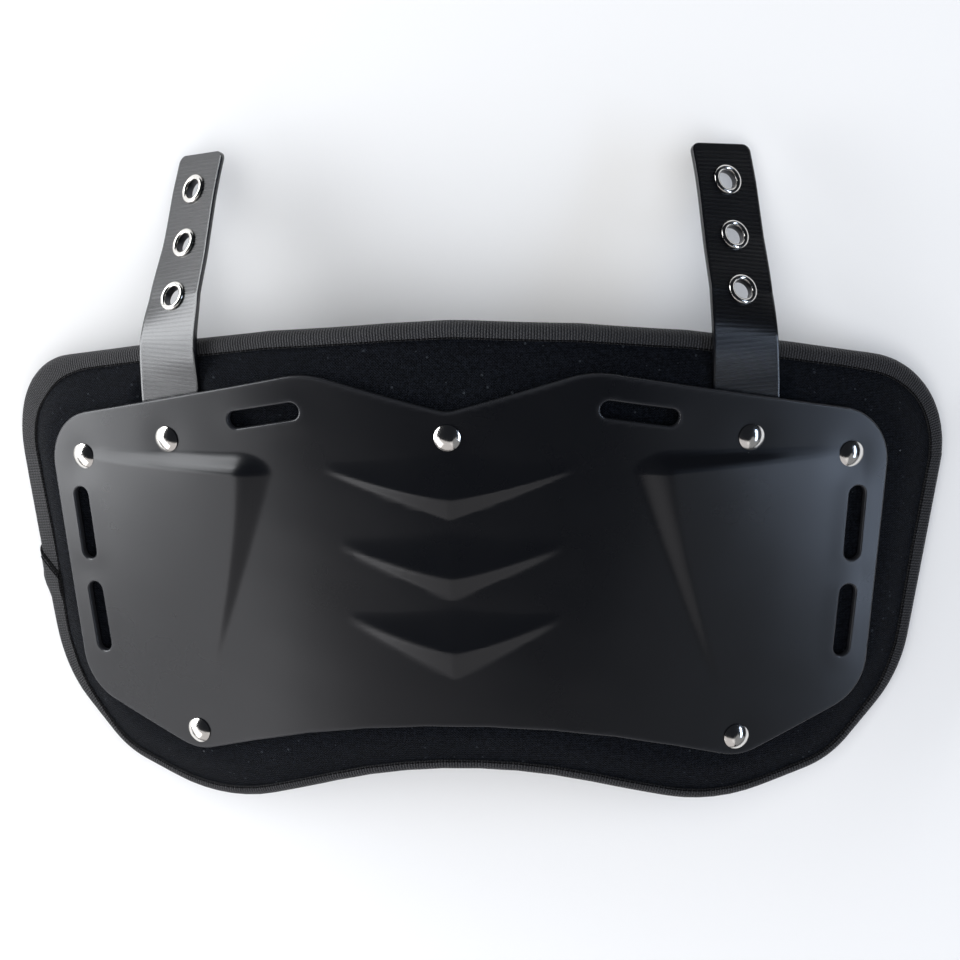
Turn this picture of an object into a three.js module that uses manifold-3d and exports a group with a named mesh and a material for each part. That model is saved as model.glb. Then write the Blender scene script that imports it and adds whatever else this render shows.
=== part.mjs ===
// Football back plate: a moulded plate riveted to a bound foam pad, with two eyelet straps.
// It lies on a table with the hollow side down: X to the right, Y towards the straps, Z out of the face.
import * as THREE from 'three';
import { mergeVertices } from 'three/addons/utils/BufferGeometryUtils.js';
import Module from 'manifold-3d';

const wasm = await Module();
wasm.setup();

// Arch of the plate's front: s is the distance along the curve from the centre line.
// The pad runs on past the plate and is bent back more on the left.
const arch = [
  { zone: 'middle', leftRadius: 300, rightRadius: 300, length: 91 },
  { zone: 'wing', leftRadius: 900, rightRadius: 900, length: 93 },
  { zone: 'pad side', leftRadius: 100, rightRadius: 400, length: 60 },
];

// Levels along the outward normal, counted from the plate's front.
const level = {
  plateBack: -3,
  strapFront: -3.6,
  strapBack: -5.6,
  padFront: -3.4,
  padEdgeFront: -7.8,
  padEdgeBack: -14.2,
  padBack: -17.4,
};
const gap = 0.3;
const holeSides = 10;

// Half outlines of the plate from the centre line to the widest point, with the round of each corner.
const plateTop = [
  { s: 0, y: 9.8, round: 12 },
  { s: 58, y: 25.2, round: 40 },
  { s: 184.8, y: -2.1, round: 24 },
  { s: 181.5, y: -40, round: 0 },
];
const plateBottom = [
  { s: 0, y: -108.8, round: 320 },
  { s: 118.3, y: -143.4, round: 22 },
  { s: 174, y: -120.6, round: 24 },
  { s: 181.5, y: -40, round: 0 },
];

// Whole outlines of the pad from left to right. Its right side is a little longer.
const padTop = [
  { s: -211.2, y: -25, round: 0 },
  { s: -217, y: 14.9, round: 36 },
  { s: -77, y: 38.8, round: 900 },
  { s: 0, y: 43.9, round: 80 },
  { s: 77, y: 41, round: 850 },
  { s: 214.8, y: 12.2, round: 42 },
  { s: 213, y: -25, round: 0 },
];
const padBottom = [
  { s: -211.2, y: -25, round: 0 },
  { s: -195.2, y: -118, round: 60 },
  { s: -161.5, y: -152.2, round: 40 },
  { s: -111.4, y: -168.6, round: 80 },
  { s: 0, y: -133.8, round: 200 },
  { s: 110, y: -166, round: 80 },
  { s: 161.5, y: -151.5, round: 40 },
  { s: 195, y: -118, round: 60 },
  { s: 213, y: -25, round: 0 },
];

const plateSteps = 56;
const padSteps = 48;
const capRows = 3;

// Edge shapes as distances in from the outline and levels, from the front face round to the back.
const plateEdge = [
  { inset: 0.9, h: 0 },
  { inset: 0, h: -0.9 },
  { inset: 0, h: -2.4 },
  { inset: 0.6, h: level.plateBack },
];
const padEdge = [
  { inset: 24, h: level.padFront },
  { inset: 15, h: -4.6 },
  { inset: 8.5, h: level.padEdgeFront },
  { inset: 0, h: level.padEdgeFront },
  { inset: 0, h: level.padEdgeBack },
  { inset: 8.5, h: level.padEdgeBack },
  { inset: 24, h: level.padBack },
];
const tape = { width: 7.5, thick: 1, gap: 0.25 };

// Slots: the centres of the two round ends on the right half.
const slotRadius = 3.6;
const slots = [
  { from: { s: 64.3, y: 9.4 }, to: { s: 89.3, y: 4.5 } },
  { from: { s: 169.5, y: -34.6 }, to: { s: 167.6, y: -59 } },
  { from: { s: 166, y: -76.6 }, to: { s: 163.6, y: -100.4 } },
];

// Downward V steps, each a ramp that ends in a drop.
const steps = [
  { reach: 50, endY: -14.4, crestY: -25, footY: -33.7 },
  { reach: 44, endY: -46, crestY: -58, footY: -67.4 },
  { reach: 42, endY: -77, crestY: -91, footY: -101.3 },
];
const step = { rise: 3, ramp: 20, endRamp: 3, endDrop: 1.5, bow: 1.3, columns: 8 };

// Raised side panels: highest at the inner top corner, fading downwards and outwards.
const panel = {
  rise: 6,
  topY: -11,
  crestY: -19.5,
  bottomY: -107,
  foot: { s: 74.5, run: 33.5, power: 1 },
  crest: { s: 89.5, run: 20, power: 1.25 },
  topFootS: 82,
  outerS: 156,
};
const sink = 0.3;
const reliefBack = -1.6;

// Straps: the centre line of the right one, with the angle its width turns away from the front.
const strap = { width: 28, thick: 2, cornerRadius: 3.5, flatTip: 9 };
const strapSeat = { s: 122, endY: -16, topY: 15.5 };
const strapStations = [
  { x: 117.2, y: 34, z: -27.7, turn: 24 },
  { x: 115.7, y: 51, z: -37, turn: 35 },
  { x: 112.7, y: 71, z: -50, turn: 40 },
  { x: 109.9, y: 92, z: -60.6, turn: 41 },
  { x: 107.3, y: 106, z: -67.4, turn: 42 },
];
const strapSteps = 14;

// Eyelets sit at the middle stations of the strap, on its centre line.
const eyelet = { bore: 4, barrel: 4.6, flange: 6.35, backFlange: 5.9, seat: 0.5, sides: 12 };
const eyeletCrown = { lip: 0.6, shoulder: 0.95, top: 1.2, mouth: 0.6 };
const eyeletStations = [3, 2, 1];

// Rivets: dome head, shank through the stack and a flat tail under the pad.
const rivet = { head: 5.5, brim: 0.5, dome: 3.1, shank: 1.7, tail: 5, tailThick: 1, sides: 12 };
const drillLength = 60;
const rivetSpots = [
  { name: 'outer', s: 166.4, y: -17, bothSides: true },
  { name: 'strap', s: 122.8, y: -6, bothSides: true },
  { name: 'lower', s: 116.8, y: -133.9, bothSides: true },
  { name: 'centre', s: 0, y: 0, bothSides: false },
];

const colours = {
  pad: { color: 0x0d1016, roughness: 0.95, metalness: 0 },
  binding: { color: 0x1c1e22, roughness: 0.85, metalness: 0 },
  plate: { color: 0x1b1d21, roughness: 0.35, metalness: 0 },
  strap: { color: 0x3a3d44, roughness: 0.5, metalness: 0 },
  metal: { color: 0xc9c7c2, roughness: 0.2, metalness: 1 },
};

// Place on the arch: x, z and the slope angle at distance s.
function archAt(s) {
  const place = { x: 0, z: 0, angle: 0 };
  let rest = Math.abs(s);
  arch.forEach(({ leftRadius, rightRadius, length }) => {
    const radius = s < 0 ? leftRadius : rightRadius;
    const run = Math.min(rest, length);
    const next = place.angle + run / radius;
    place.x += radius * (Math.sin(next) - Math.sin(place.angle));
    place.z -= radius * (Math.cos(place.angle) - Math.cos(next));
    place.angle = next;
    rest -= run;
  });
  const side = Math.sign(s);
  return { x: side * place.x, z: place.z, angle: side * place.angle };
}

function onArch(s, y, h) {
  const { x, z, angle } = archAt(s);
  return new THREE.Vector3(x + h * Math.sin(angle), y, z + h * Math.cos(angle));
}

function bothHalves(half) {
  const mirrored = half.slice(1).reverse().map((corner) => ({ ...corner, s: -corner.s }));
  return [...mirrored, ...half];
}

// Points along a chain of corners, each corner rounded by an arc.
function roundedChain(corners, count) {
  const path = new THREE.Path();
  const at = (c) => new THREE.Vector2(c.s, c.y);
  path.moveTo(corners[0].s, corners[0].y);
  for (let i = 1; i < corners.length - 1; i += 1) {
    const corner = at(corners[i]);
    const into = corner.clone().sub(at(corners[i - 1])).normalize();
    const out = at(corners[i + 1]).sub(corner).normalize();
    const left = into.cross(out) > 0 ? 1 : -1;
    const turn = Math.acos(THREE.MathUtils.clamp(into.dot(out), -1, 1));
    const reach = corners[i].round * Math.tan(turn / 2);
    const start = corner.clone().addScaledVector(into, -reach);
    const end = corner.clone().addScaledVector(out, reach);
    const toCentre = new THREE.Vector2(-into.y, into.x).multiplyScalar(left * corners[i].round);
    const centre = start.clone().add(toCentre);
    const a0 = Math.atan2(start.y - centre.y, start.x - centre.x);
    const a1 = Math.atan2(end.y - centre.y, end.x - centre.x);
    path.lineTo(start.x, start.y);
    path.absarc(centre.x, centre.y, corners[i].round, a0, a1, left < 0);
  }
  path.lineTo(corners.at(-1).s, corners.at(-1).y);
  return path.getSpacedPoints(count);
}

// Closed outline, anticlockwise: along the bottom to the right, then back along the top.
function closedOutline(top, bottom, count) {
  const under = roundedChain(bottom, count);
  const over = roundedChain(top, count).reverse();
  const points = [...under, ...over.slice(1, -1)];
  const inward = points.map((p, i) => {
    const before = points.at(i - 1);
    const after = points[(i + 1) % points.length];
    const along = after.clone().sub(before).normalize();
    return new THREE.Vector2(-along.y, along.x);
  });
  return { points, inward, count };
}

function geometryFrom(positions, index) {
  const geometry = new THREE.BufferGeometry();
  geometry.setAttribute('position', new THREE.Float32BufferAttribute(positions, 3));
  geometry.setIndex(index);
  return geometry;
}

// Sweeps an edge shape round an outline. An open shape is capped by rows across the arch.
function sweepRound(outline, edge, isLoop) {
  const positions = [];
  const index = [];
  const total = outline.points.length;
  const put = (p, h) => positions.push(...onArch(p.x, p.y, h).toArray());
  const quad = (a, b, c, d) => index.push(a, b, c, a, c, d);
  edge.forEach(({ inset, h }) => {
    outline.points.forEach((p, i) => put(p.clone().addScaledVector(outline.inward[i], inset), h));
  });
  const rings = isLoop ? edge.length : edge.length - 1;
  for (let r = 0; r < rings; r += 1) {
    const next = (r + 1) % edge.length;
    for (let i = 0; i < total; i += 1) {
      const j = (i + 1) % total;
      quad(r * total + j, r * total + i, next * total + i, next * total + j);
    }
  }
  if (isLoop) {
    return geometryFrom(positions, index);
  }
  const cap = (ring, facesFront) => {
    const { inset, h } = edge[ring];
    const inner = outline.points.map((p, i) => p.clone().addScaledVector(outline.inward[i], inset));
    const rowStart = [];
    for (let row = 1; row < capRows; row += 1) {
      rowStart[row] = positions.length / 3;
      for (let i = 1; i < outline.count; i += 1) {
        put(inner[i].clone().lerp(inner[total - i], row / capRows), h);
      }
    }
    const vertex = (row, i) => {
      if (row === 0 || i === 0 || i === outline.count) {
        return ring * total + i;
      }
      return row === capRows ? ring * total + total - i : rowStart[row] + i - 1;
    };
    for (let row = 0; row < capRows; row += 1) {
      for (let i = 0; i < outline.count; i += 1) {
        const a = vertex(row, i);
        const b = vertex(row, i + 1);
        const c = vertex(row + 1, i + 1);
        const d = vertex(row + 1, i);
        const triangles = [[a, b, c], [a, c, d]].filter((t) => new Set(t).size === 3);
        triangles.forEach((t) => index.push(...(facesFront ? t : t.reverse())));
      }
    }
  };
  cap(0, true);
  cap(edge.length - 1, false);
  return geometryFrom(positions, index);
}

// A block with the given numbers of columns and rows whose corners are put by a rule.
function shapedBlock(columns, rows, place) {
  const geometry = new THREE.BoxGeometry(1, 1, 1, columns, rows, 1);
  const position = geometry.getAttribute('position');
  for (let i = 0; i < position.count; i += 1) {
    const column = Math.round((position.getX(i) + 0.5) * columns);
    const row = Math.round((position.getY(i) + 0.5) * rows);
    const p = place(column, row, position.getZ(i) > 0);
    position.setXYZ(i, p.x, p.y, p.z);
  }
  return geometry;
}

function mirrorX(geometry) {
  const copy = geometry.clone().scale(-1, 1, 1);
  const order = copy.index.array;
  for (let i = 0; i < order.length; i += 3) {
    [order[i], order[i + 1]] = [order[i + 1], order[i]];
  }
  return copy;
}

// Joins and cuts through closed solids.
function toSolid(geometry) {
  const bare = geometry.clone();
  bare.deleteAttribute('normal');
  bare.deleteAttribute('uv');
  const merged = mergeVertices(bare, 1e-4);
  const vertProperties = new Float32Array(merged.getAttribute('position').array);
  const triVerts = new Uint32Array(merged.index.array);
  return new wasm.Manifold(new wasm.Mesh({ numProp: 3, vertProperties, triVerts }));
}

function fromSolid(solid) {
  const mesh = solid.getMesh();
  return geometryFrom(Array.from(mesh.vertProperties), Array.from(mesh.triVerts));
}

function cut(body, tools) {
  return fromSolid(tools.reduce((rest, tool) => rest.subtract(toSolid(tool)), toSolid(body)));
}

function join(body, extras) {
  return fromSolid(extras.reduce((whole, extra) => whole.add(toSolid(extra)), toSolid(body)));
}

// Frame on the arch: local Z along the outward normal.
function seatFrame(s, y, h) {
  const frame = new THREE.Matrix4().makeRotationY(archAt(s).angle);
  return frame.setPosition(onArch(s, y, h));
}

// Lathe about local Z from rows of radius and height.
function turned(rows, sides) {
  const points = rows.map(([radius, height]) => new THREE.Vector2(radius, height));
  return new THREE.LatheGeometry(points, sides).rotateX(Math.PI / 2);
}

function drill(radius, sides) {
  return new THREE.CylinderGeometry(radius, radius, drillLength, sides).rotateX(Math.PI / 2);
}

const bothSides = (make) => [-1, 1].map((side) => make(side));

// Plate
function slotCutter({ from, to }, side) {
  const length = Math.hypot(to.s - from.s, to.y - from.y);
  const turn = Math.atan2(to.y - from.y, side * (to.s - from.s));
  const outline = new THREE.Shape();
  outline.absarc(length / 2, 0, slotRadius, -Math.PI / 2, Math.PI / 2, false);
  outline.absarc(-length / 2, 0, slotRadius, Math.PI / 2, Math.PI * 1.5, false);
  const depth = 12;
  const cutter = new THREE.ExtrudeGeometry(outline, { depth, bevelEnabled: false, curveSegments: 6 });
  cutter.translate(0, 0, -depth / 2).rotateZ(turn);
  const middleS = side * (from.s + to.s) / 2;
  return cutter.applyMatrix4(seatFrame(middleS, (from.y + to.y) / 2, 0));
}

function stepWedge({ reach, endY, crestY, footY }) {
  return shapedBlock(step.columns, 2, (column, row, isFront) => {
    const u = (column / step.columns) * 2 - 1;
    const fade = 1 - Math.abs(u);
    const crest = endY + (crestY - endY) * (1 - Math.abs(u) ** step.bow);
    const foot = endY - step.endDrop + (footY - endY + step.endDrop) * fade;
    const ramp = crest + step.endRamp + (step.ramp - step.endRamp) * fade;
    const y = [foot, crest, ramp][row];
    const front = row === 1 ? step.rise * fade - sink : -sink;
    return onArch(u * reach, y, isFront ? front : reliefBack);
  });
}

function panelWedge() {
  const columns = 4;
  const rows = 5;
  const easedS = (line, t) => line.s + line.run * t ** line.power;
  return shapedBlock(columns, rows, (column, row, isFront) => {
    const isTop = row === rows;
    const t = isTop ? 0 : 1 - row / (rows - 1);
    const y = isTop ? panel.topY : panel.crestY + (panel.bottomY - panel.crestY) * t;
    const crestS = easedS(panel.crest, t);
    const outward = Math.max(0, column - 1) / (columns - 1);
    const footS = isTop ? panel.topFootS : easedS(panel.foot, t) - sink;
    const s = column === 0 ? footS : crestS + (panel.outerS - crestS) * outward;
    const isRaised = column > 0 && !isTop;
    const front = isRaised ? panel.rise * (1 - t) * (1 - outward) - sink : -sink;
    return onArch(s, y, isFront ? front : reliefBack);
  });
}

function rivetHole(spot, side) {
  const tool = drill(rivet.shank + gap, holeSides);
  return tool.applyMatrix4(seatFrame(side * spot.s, spot.y, 0));
}

function allRivets(make) {
  return rivetSpots.flatMap((spot) => {
    const sides = spot.bothSides ? [-1, 1] : [1];
    return sides.map((side) => make(spot, side));
  });
}

function plateGeometry() {
  const outline = closedOutline(bothHalves(plateTop), bothHalves(plateBottom), plateSteps);
  const blank = sweepRound(outline, plateEdge, false);
  const right = panelWedge();
  const raised = join(blank, [...steps.map(stepWedge), right, mirrorX(right)]);
  const slotTools = slots.flatMap((slot) => bothSides((side) => slotCutter(slot, side)));
  return cut(raised, [...slotTools, ...allRivets(rivetHole)]);
}

// Strap centre line: its first two points lie on the arch under the plate.
function strapCentre() {
  const middle = (level.strapFront + level.strapBack) / 2;
  const seat = [strapSeat.endY, strapSeat.topY].map((y) => onArch(strapSeat.s, y, middle));
  const free = strapStations.map(({ x, y, z }) => new THREE.Vector3(x, y, z));
  return new THREE.CatmullRomCurve3([...seat, ...free], false, 'centripetal');
}

const strapLine = strapCentre();
const strapLength = strapLine.getLength();
const seatTurn = THREE.MathUtils.radToDeg(archAt(strapSeat.s).angle);
const turnRows = [{ y: strapSeat.topY, turn: seatTurn }, ...strapStations];

function strapTurn(y) {
  const after = turnRows.findIndex((row) => row.y > y);
  if (after < 0) {
    return turnRows.at(-1).turn;
  }
  if (after === 0) {
    return seatTurn;
  }
  const a = turnRows[after - 1];
  const b = turnRows[after];
  return a.turn + ((b.turn - a.turn) * (y - a.y)) / (b.y - a.y);
}

// Frame on the strap: X across, Y along, Z out of its face.
function strapFrame(share) {
  const centre = strapLine.getPointAt(share);
  const along = strapLine.getTangentAt(share);
  const turn = THREE.MathUtils.degToRad(strapTurn(centre.y));
  const across = new THREE.Vector3(Math.cos(turn), 0, -Math.sin(turn));
  const out = across.clone().cross(along).normalize();
  across.copy(along).cross(out).normalize();
  return new THREE.Matrix4().makeBasis(across, along, out).setPosition(centre);
}

// The last stretch is flat, in line with the frame where it starts.
function strapPoint(x, distance, z) {
  const bent = Math.min(distance, strapLength - strap.flatTip);
  return new THREE.Vector3(x, distance - bent, z).applyMatrix4(strapFrame(bent / strapLength));
}

function strapBand(width, thick) {
  const tipRows = 3;
  const bentLength = strapLength - strap.flatTip;
  const tipStart = strapLength - strap.cornerRadius;
  return shapedBlock(2, strapSteps + 1 + tipRows, (column, row, isFront) => {
    const turn = (Math.max(0, row - strapSteps - 1) / tipRows) * (Math.PI / 2);
    const flat = tipStart + strap.cornerRadius * Math.sin(turn);
    const distance = row <= strapSteps ? (bentLength * row) / strapSteps : flat;
    const half = width / 2 - strap.cornerRadius * (1 - Math.cos(turn));
    return strapPoint((column - 1) * half, distance, isFront ? thick / 2 : -thick / 2);
  });
}

// Share of the strap's length at which its centre line reaches a height.
function shareAtY(y) {
  let low = 0;
  let high = 1;
  for (let i = 0; i < 40; i += 1) {
    const middle = (low + high) / 2;
    if (strapLine.getPointAt(middle).y < y) {
      low = middle;
    } else {
      high = middle;
    }
  }
  return low;
}

const eyeletFrames = eyeletStations.map((i) => strapFrame(shareAtY(strapStations[i].y)));

function strapGeometry() {
  const tool = drill(eyelet.barrel + gap, eyelet.sides);
  const holes = eyeletFrames.map((frame) => tool.clone().applyMatrix4(frame));
  const strapSpot = rivetSpots.find((spot) => spot.name === 'strap');
  return cut(strapBand(strap.width, strap.thick), [...holes, rivetHole(strapSpot, 1)]);
}

// Pad and its bound edge
const padOutline = closedOutline(padTop, padBottom, padSteps);

function padGeometry() {
  const raw = sweepRound(padOutline, padEdge, false);
  const pocketSide = 0.5;
  const pocket = strapBand(strap.width + 2 * pocketSide, strap.thick + 4 * gap);
  pocket.translate(0, -pocketSide, 0);
  return cut(raw, [pocket, mirrorX(pocket), ...allRivets(rivetHole)]);
}

function bindingGeometry() {
  const inFront = level.padEdgeFront + tape.gap;
  const inBack = level.padEdgeBack - tape.gap;
  const corner = 0.8;
  const section = [
    { inset: tape.width, h: inFront + tape.thick },
    { inset: corner, h: inFront + tape.thick },
    { inset: -tape.gap - tape.thick, h: inFront - corner },
    { inset: -tape.gap - tape.thick, h: inBack + corner },
    { inset: corner, h: inBack - tape.thick },
    { inset: tape.width, h: inBack - tape.thick },
    { inset: tape.width, h: inBack },
    { inset: -tape.gap, h: inBack },
    { inset: -tape.gap, h: inFront },
    { inset: tape.width, h: inFront },
  ];
  return sweepRound(padOutline, section, true);
}

// Metal
function eyeletGeometry() {
  const { bore, barrel, flange, backFlange, seat, sides } = eyelet;
  const { lip, shoulder, top, mouth } = eyeletCrown;
  const face = strap.thick / 2 + seat;
  return turned([
    [bore, -face - lip],
    [backFlange, -face - lip],
    [backFlange, -face],
    [barrel, -face],
    [barrel, face],
    [flange, face],
    [flange - lip, face + shoulder],
    [(flange + bore) / 2, face + top],
    [bore, face + mouth],
    [bore, -face - lip],
  ], sides);
}

function rivetGeometry() {
  const { head, brim, dome, shank, tail, tailThick, sides } = rivet;
  const tailTop = level.padBack - gap;
  const rings = 3;
  const crown = Array.from({ length: rings }, (_, i) => {
    const a = (i / rings) * (Math.PI / 2);
    return [head * Math.cos(a), gap + brim + (dome - brim) * Math.sin(a)];
  });
  return turned([
    [0, tailTop - tailThick],
    [tail, tailTop - tailThick],
    [tail, tailTop],
    [shank, tailTop],
    [shank, gap],
    [head, gap],
    ...crown,
    [0, gap + dome],
  ], sides);
}

// Assembly
const lying = new THREE.Group();

function add(name, geometry, finish, frame) {
  const mesh = new THREE.Mesh(geometry, new THREE.MeshStandardMaterial(finish));
  mesh.name = name;
  if (frame) {
    mesh.applyMatrix4(frame);
  }
  lying.add(mesh);
}

function mirroredFrame(frame) {
  const position = new THREE.Vector3();
  const rotation = new THREE.Quaternion();
  frame.decompose(position, rotation, new THREE.Vector3());
  position.x = -position.x;
  rotation.set(rotation.x, -rotation.y, -rotation.z, rotation.w);
  return new THREE.Matrix4().makeRotationFromQuaternion(rotation).setPosition(position);
}

add('pad', padGeometry(), colours.pad);
add('binding', bindingGeometry(), colours.binding);
add('plate', plateGeometry(), colours.plate);

const rightStrap = strapGeometry();
add('strap_right', rightStrap, colours.strap);
add('strap_left', mirrorX(rightStrap), colours.strap);

eyeletFrames.forEach((frame, i) => {
  add(`eyelet_right_${i + 1}`, eyeletGeometry(), colours.metal, frame);
  add(`eyelet_left_${i + 1}`, eyeletGeometry(), colours.metal, mirroredFrame(frame));
});

allRivets((spot, side) => {
  const sideName = side > 0 ? 'right' : 'left';
  const name = spot.bothSides ? `rivet_${spot.name}_${sideName}` : `rivet_${spot.name}`;
  add(name, rivetGeometry(), colours.metal, seatFrame(side * spot.s, spot.y, 0));
});

// The straight lower edges of the two sides lie on the table.
const lowLevel = level.padEdgeBack - tape.gap - tape.thick;
const sideRun = [padBottom.at(-2), padBottom.at(-1)].map(({ s, y }) => onArch(s, y, lowLevel));
const tilt = Math.atan2(sideRun[1].z - sideRun[0].z, sideRun[1].y - sideRun[0].y);
lying.rotation.x = -tilt;
const box = new THREE.Box3().setFromObject(lying, true);
const middle = box.getCenter(new THREE.Vector3());
lying.position.set(-middle.x, -middle.y, -box.min.z);

const backPlate = new THREE.Group();
backPlate.add(lying);

export default backPlate;
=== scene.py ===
import math

import bmesh
import bpy
import numpy as np
from mathutils import Matrix, Vector


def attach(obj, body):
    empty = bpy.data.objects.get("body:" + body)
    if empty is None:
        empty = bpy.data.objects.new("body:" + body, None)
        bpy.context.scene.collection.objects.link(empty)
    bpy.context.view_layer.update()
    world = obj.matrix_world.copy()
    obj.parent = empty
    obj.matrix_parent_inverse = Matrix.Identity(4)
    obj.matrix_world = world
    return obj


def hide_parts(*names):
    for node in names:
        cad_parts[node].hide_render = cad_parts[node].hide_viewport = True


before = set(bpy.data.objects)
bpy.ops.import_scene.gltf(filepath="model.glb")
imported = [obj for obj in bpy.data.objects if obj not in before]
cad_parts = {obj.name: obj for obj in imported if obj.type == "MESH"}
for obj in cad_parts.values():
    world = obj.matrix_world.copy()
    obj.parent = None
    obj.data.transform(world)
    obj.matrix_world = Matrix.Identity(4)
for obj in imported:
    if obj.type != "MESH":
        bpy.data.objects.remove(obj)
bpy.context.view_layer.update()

mm = 0.001
print("frame loaded:", len(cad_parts), "nodes")

# camera and light, so that every later look has them
cameraForm = {
    "lens": 75, "sensor": 36, "clip": (0.01, 50),
    "place": (95.158, 152.604, 846.527),  # mm
    "right": (0.994294, -0.021288, -0.104527),
    "forward": (-0.106659, -0.182425, -0.977418),
    "up": (0.001738, 0.982989, -0.183654),
}
studioForm = {
    "floorSize": 30, "floorRoughness": 0.9, "floorColour": (0.86, 0.86, 0.86, 1),
    "worldColour": (0.013, 0.0145, 0.018, 1),
    "lights": [  # name, place, aim, width, height, watts, colour, seen in reflections
        ("leftSoftbox", (-1.12, 0.323, 0.375), (-0.07, 0.073, -0.145), 1.39, 0.57, 16.9,
         (0.95, 0.97, 1.0), True),
        ("leftFill", (-0.95, -0.65, 0.58), (0, 0, 0.03), 1.0, 0.8, 3.9,
         (0.97, 0.97, 1.0), True),
        ("frontCard", (-0.30, -1.05, 0.745), (0, 0, 0.03), 1.7, 1.34, 4.45,
         (1.0, 0.97, 0.98), True),
        ("frontRight", (0.86, -0.89, 0.73), (0, 0, 0.03), 1.2, 1.28, 1.25,
         (0.95, 0.97, 1.0), True),
        ("rightStrip", (1.065, -0.06, 0.61), (0.15, -0.06, 0.03), 1.0, 0.15, 3.8,
         (0.64, 0.77, 1.0), True),
        ("overhead", (0.15, 0.2, 2.0), (0, 0, 0), 2.2, 2.2, 34,
         (1.0, 1.0, 1.0), False),
    ],
}


def deselect():
    if bpy.context.mode != "OBJECT":
        bpy.ops.object.mode_set(mode="OBJECT")
    bpy.ops.object.select_all(action="DESELECT")


def activate(piece):
    deselect()
    piece.select_set(True)
    bpy.context.view_layer.objects.active = piece


def buildStudio():
    deselect()
    camera = bpy.data.cameras.new("photoCamera")
    camera.lens = cameraForm["lens"]
    camera.sensor_width = cameraForm["sensor"]
    camera.clip_start, camera.clip_end = cameraForm["clip"]
    eye = bpy.data.objects.new("photoCamera", camera)
    bpy.context.scene.collection.objects.link(eye)
    axes = [Vector(cameraForm[k]) for k in ("right", "up", "forward")]
    turn = Matrix((axes[0], axes[1], -axes[2])).transposed()
    eye.matrix_world = Matrix.Translation(Vector(cameraForm["place"]) * mm) @ turn.to_4x4()
    bpy.context.scene.camera = eye

    bpy.ops.mesh.primitive_plane_add(size=studioForm["floorSize"], location=(0, 0, 0))
    floor = bpy.context.object
    floor.name = "floor"
    paint = bpy.data.materials.new("floorPaint")
    paint.use_nodes = True
    shader = paint.node_tree.nodes["Principled BSDF"]
    shader.inputs["Base Color"].default_value = studioForm["floorColour"]
    shader.inputs["Roughness"].default_value = studioForm["floorRoughness"]
    floor.data.materials.append(paint)

    for name, place, aim, width, height, watts, colour, shines in studioForm["lights"]:
        lamp = bpy.data.lights.new(name, "AREA")
        lamp.shape = "RECTANGLE"
        lamp.size, lamp.size_y = width, height
        lamp.energy, lamp.color = watts, colour
        holder = bpy.data.objects.new(name, lamp)
        bpy.context.scene.collection.objects.link(holder)
        holder.location = place
        holder.visible_glossy = shines
        holder.rotation_euler = (Vector(aim) - Vector(place)).to_track_quat("-Z", "Y").to_euler()

    world = bpy.data.worlds.new("studio")
    world.use_nodes = True
    world.node_tree.nodes["Background"].inputs["Color"].default_value = studioForm["worldColour"]
    bpy.context.scene.world = world
    bpy.context.scene.view_settings.view_transform = "Standard"


buildStudio()
print("studio and camera ready")

# the arch that the plate and pad follow, in mm
# s runs along the curve, y towards the straps, h out of the face
archForm = {
    "zones": [(300, 300, 91), (900, 900, 93), (100, 400, 60)],  # left radius, right radius, length
    "tilt": 4.690237,  # degrees about X as the part lies
    "place": (-1.886482, 25.228593, 73.589215),
}


def toFrame(x, y, z):
    tilt = math.radians(archForm["tilt"])
    px, py, pz = archForm["place"]
    turnedY = y * math.cos(tilt) - z * math.sin(tilt)
    turnedZ = y * math.sin(tilt) + z * math.cos(tilt)
    return np.stack([x + px, turnedY + py, turnedZ + pz], -1) * mm


def archAt(s):
    s = np.asarray(s, float)
    x, z, angle = np.zeros_like(s), np.zeros_like(s), np.zeros_like(s)
    rest = np.abs(s)
    for left, right, length in archForm["zones"]:
        radius = np.where(s < 0, left, right)
        run = np.minimum(rest, length)
        after = angle + run / radius
        x = x + radius * (np.sin(after) - np.sin(angle))
        z = z - radius * (np.cos(angle) - np.cos(after))
        angle = after
        rest = rest - run
    side = np.where(s < 0, -1.0, 1.0)
    return side * x, z, side * angle


def onArch(s, y, h):
    x, z, angle = archAt(s)
    return toFrame(x + h * np.sin(angle), np.asarray(y, float), z + h * np.cos(angle))


def seatFrame(s, y, h):
    # a matrix on the arch whose Z is the outward normal
    origin, above, ahead = (onArch(*p) for p in ((s, y, h), (s, y, h + 1), (s, y + 1, h)))
    out = Vector(above - origin).normalized()
    along = Vector(ahead - origin).normalized()
    across = along.cross(out)
    return Matrix.Translation(Vector(origin)) @ Matrix((across, along, out)).transposed().to_4x4()


def getPoints(piece):
    points = np.empty(len(piece.data.vertices) * 3)
    piece.data.vertices.foreach_get("co", points)
    return points.reshape(-1, 3)


def setPoints(piece, points):
    piece.data.vertices.foreach_set("co", np.asarray(points, float).ravel())
    piece.data.update()


def setAttribute(piece, name, values):
    layer = piece.data.attributes.new(name, "FLOAT", "POINT")
    layer.data.foreach_set("value", np.asarray(values, float))


def setPattern(piece, pattern):
    # the flat pattern in metres becomes the piece's UV map, so a weave keeps its size on the curve
    layer = piece.data.uv_layers.new(name="pattern")
    corner = np.empty(len(piece.data.loops), int)
    piece.data.loops.foreach_get("vertex_index", corner)
    layer.data.foreach_set("uv", np.asarray(pattern, float)[corner].ravel())


def smoothShade(piece, degrees):
    activate(piece)
    bpy.ops.object.shade_smooth_by_angle(angle=math.radians(degrees))


def recalcNormals(piece, mergeAt=1e-6):
    activate(piece)
    bpy.ops.object.mode_set(mode="EDIT")
    bpy.ops.mesh.select_all(action="SELECT")
    bpy.ops.mesh.remove_doubles(threshold=mergeAt)
    bpy.ops.mesh.normals_make_consistent(inside=False)
    bpy.ops.object.mode_set(mode="OBJECT")


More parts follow.
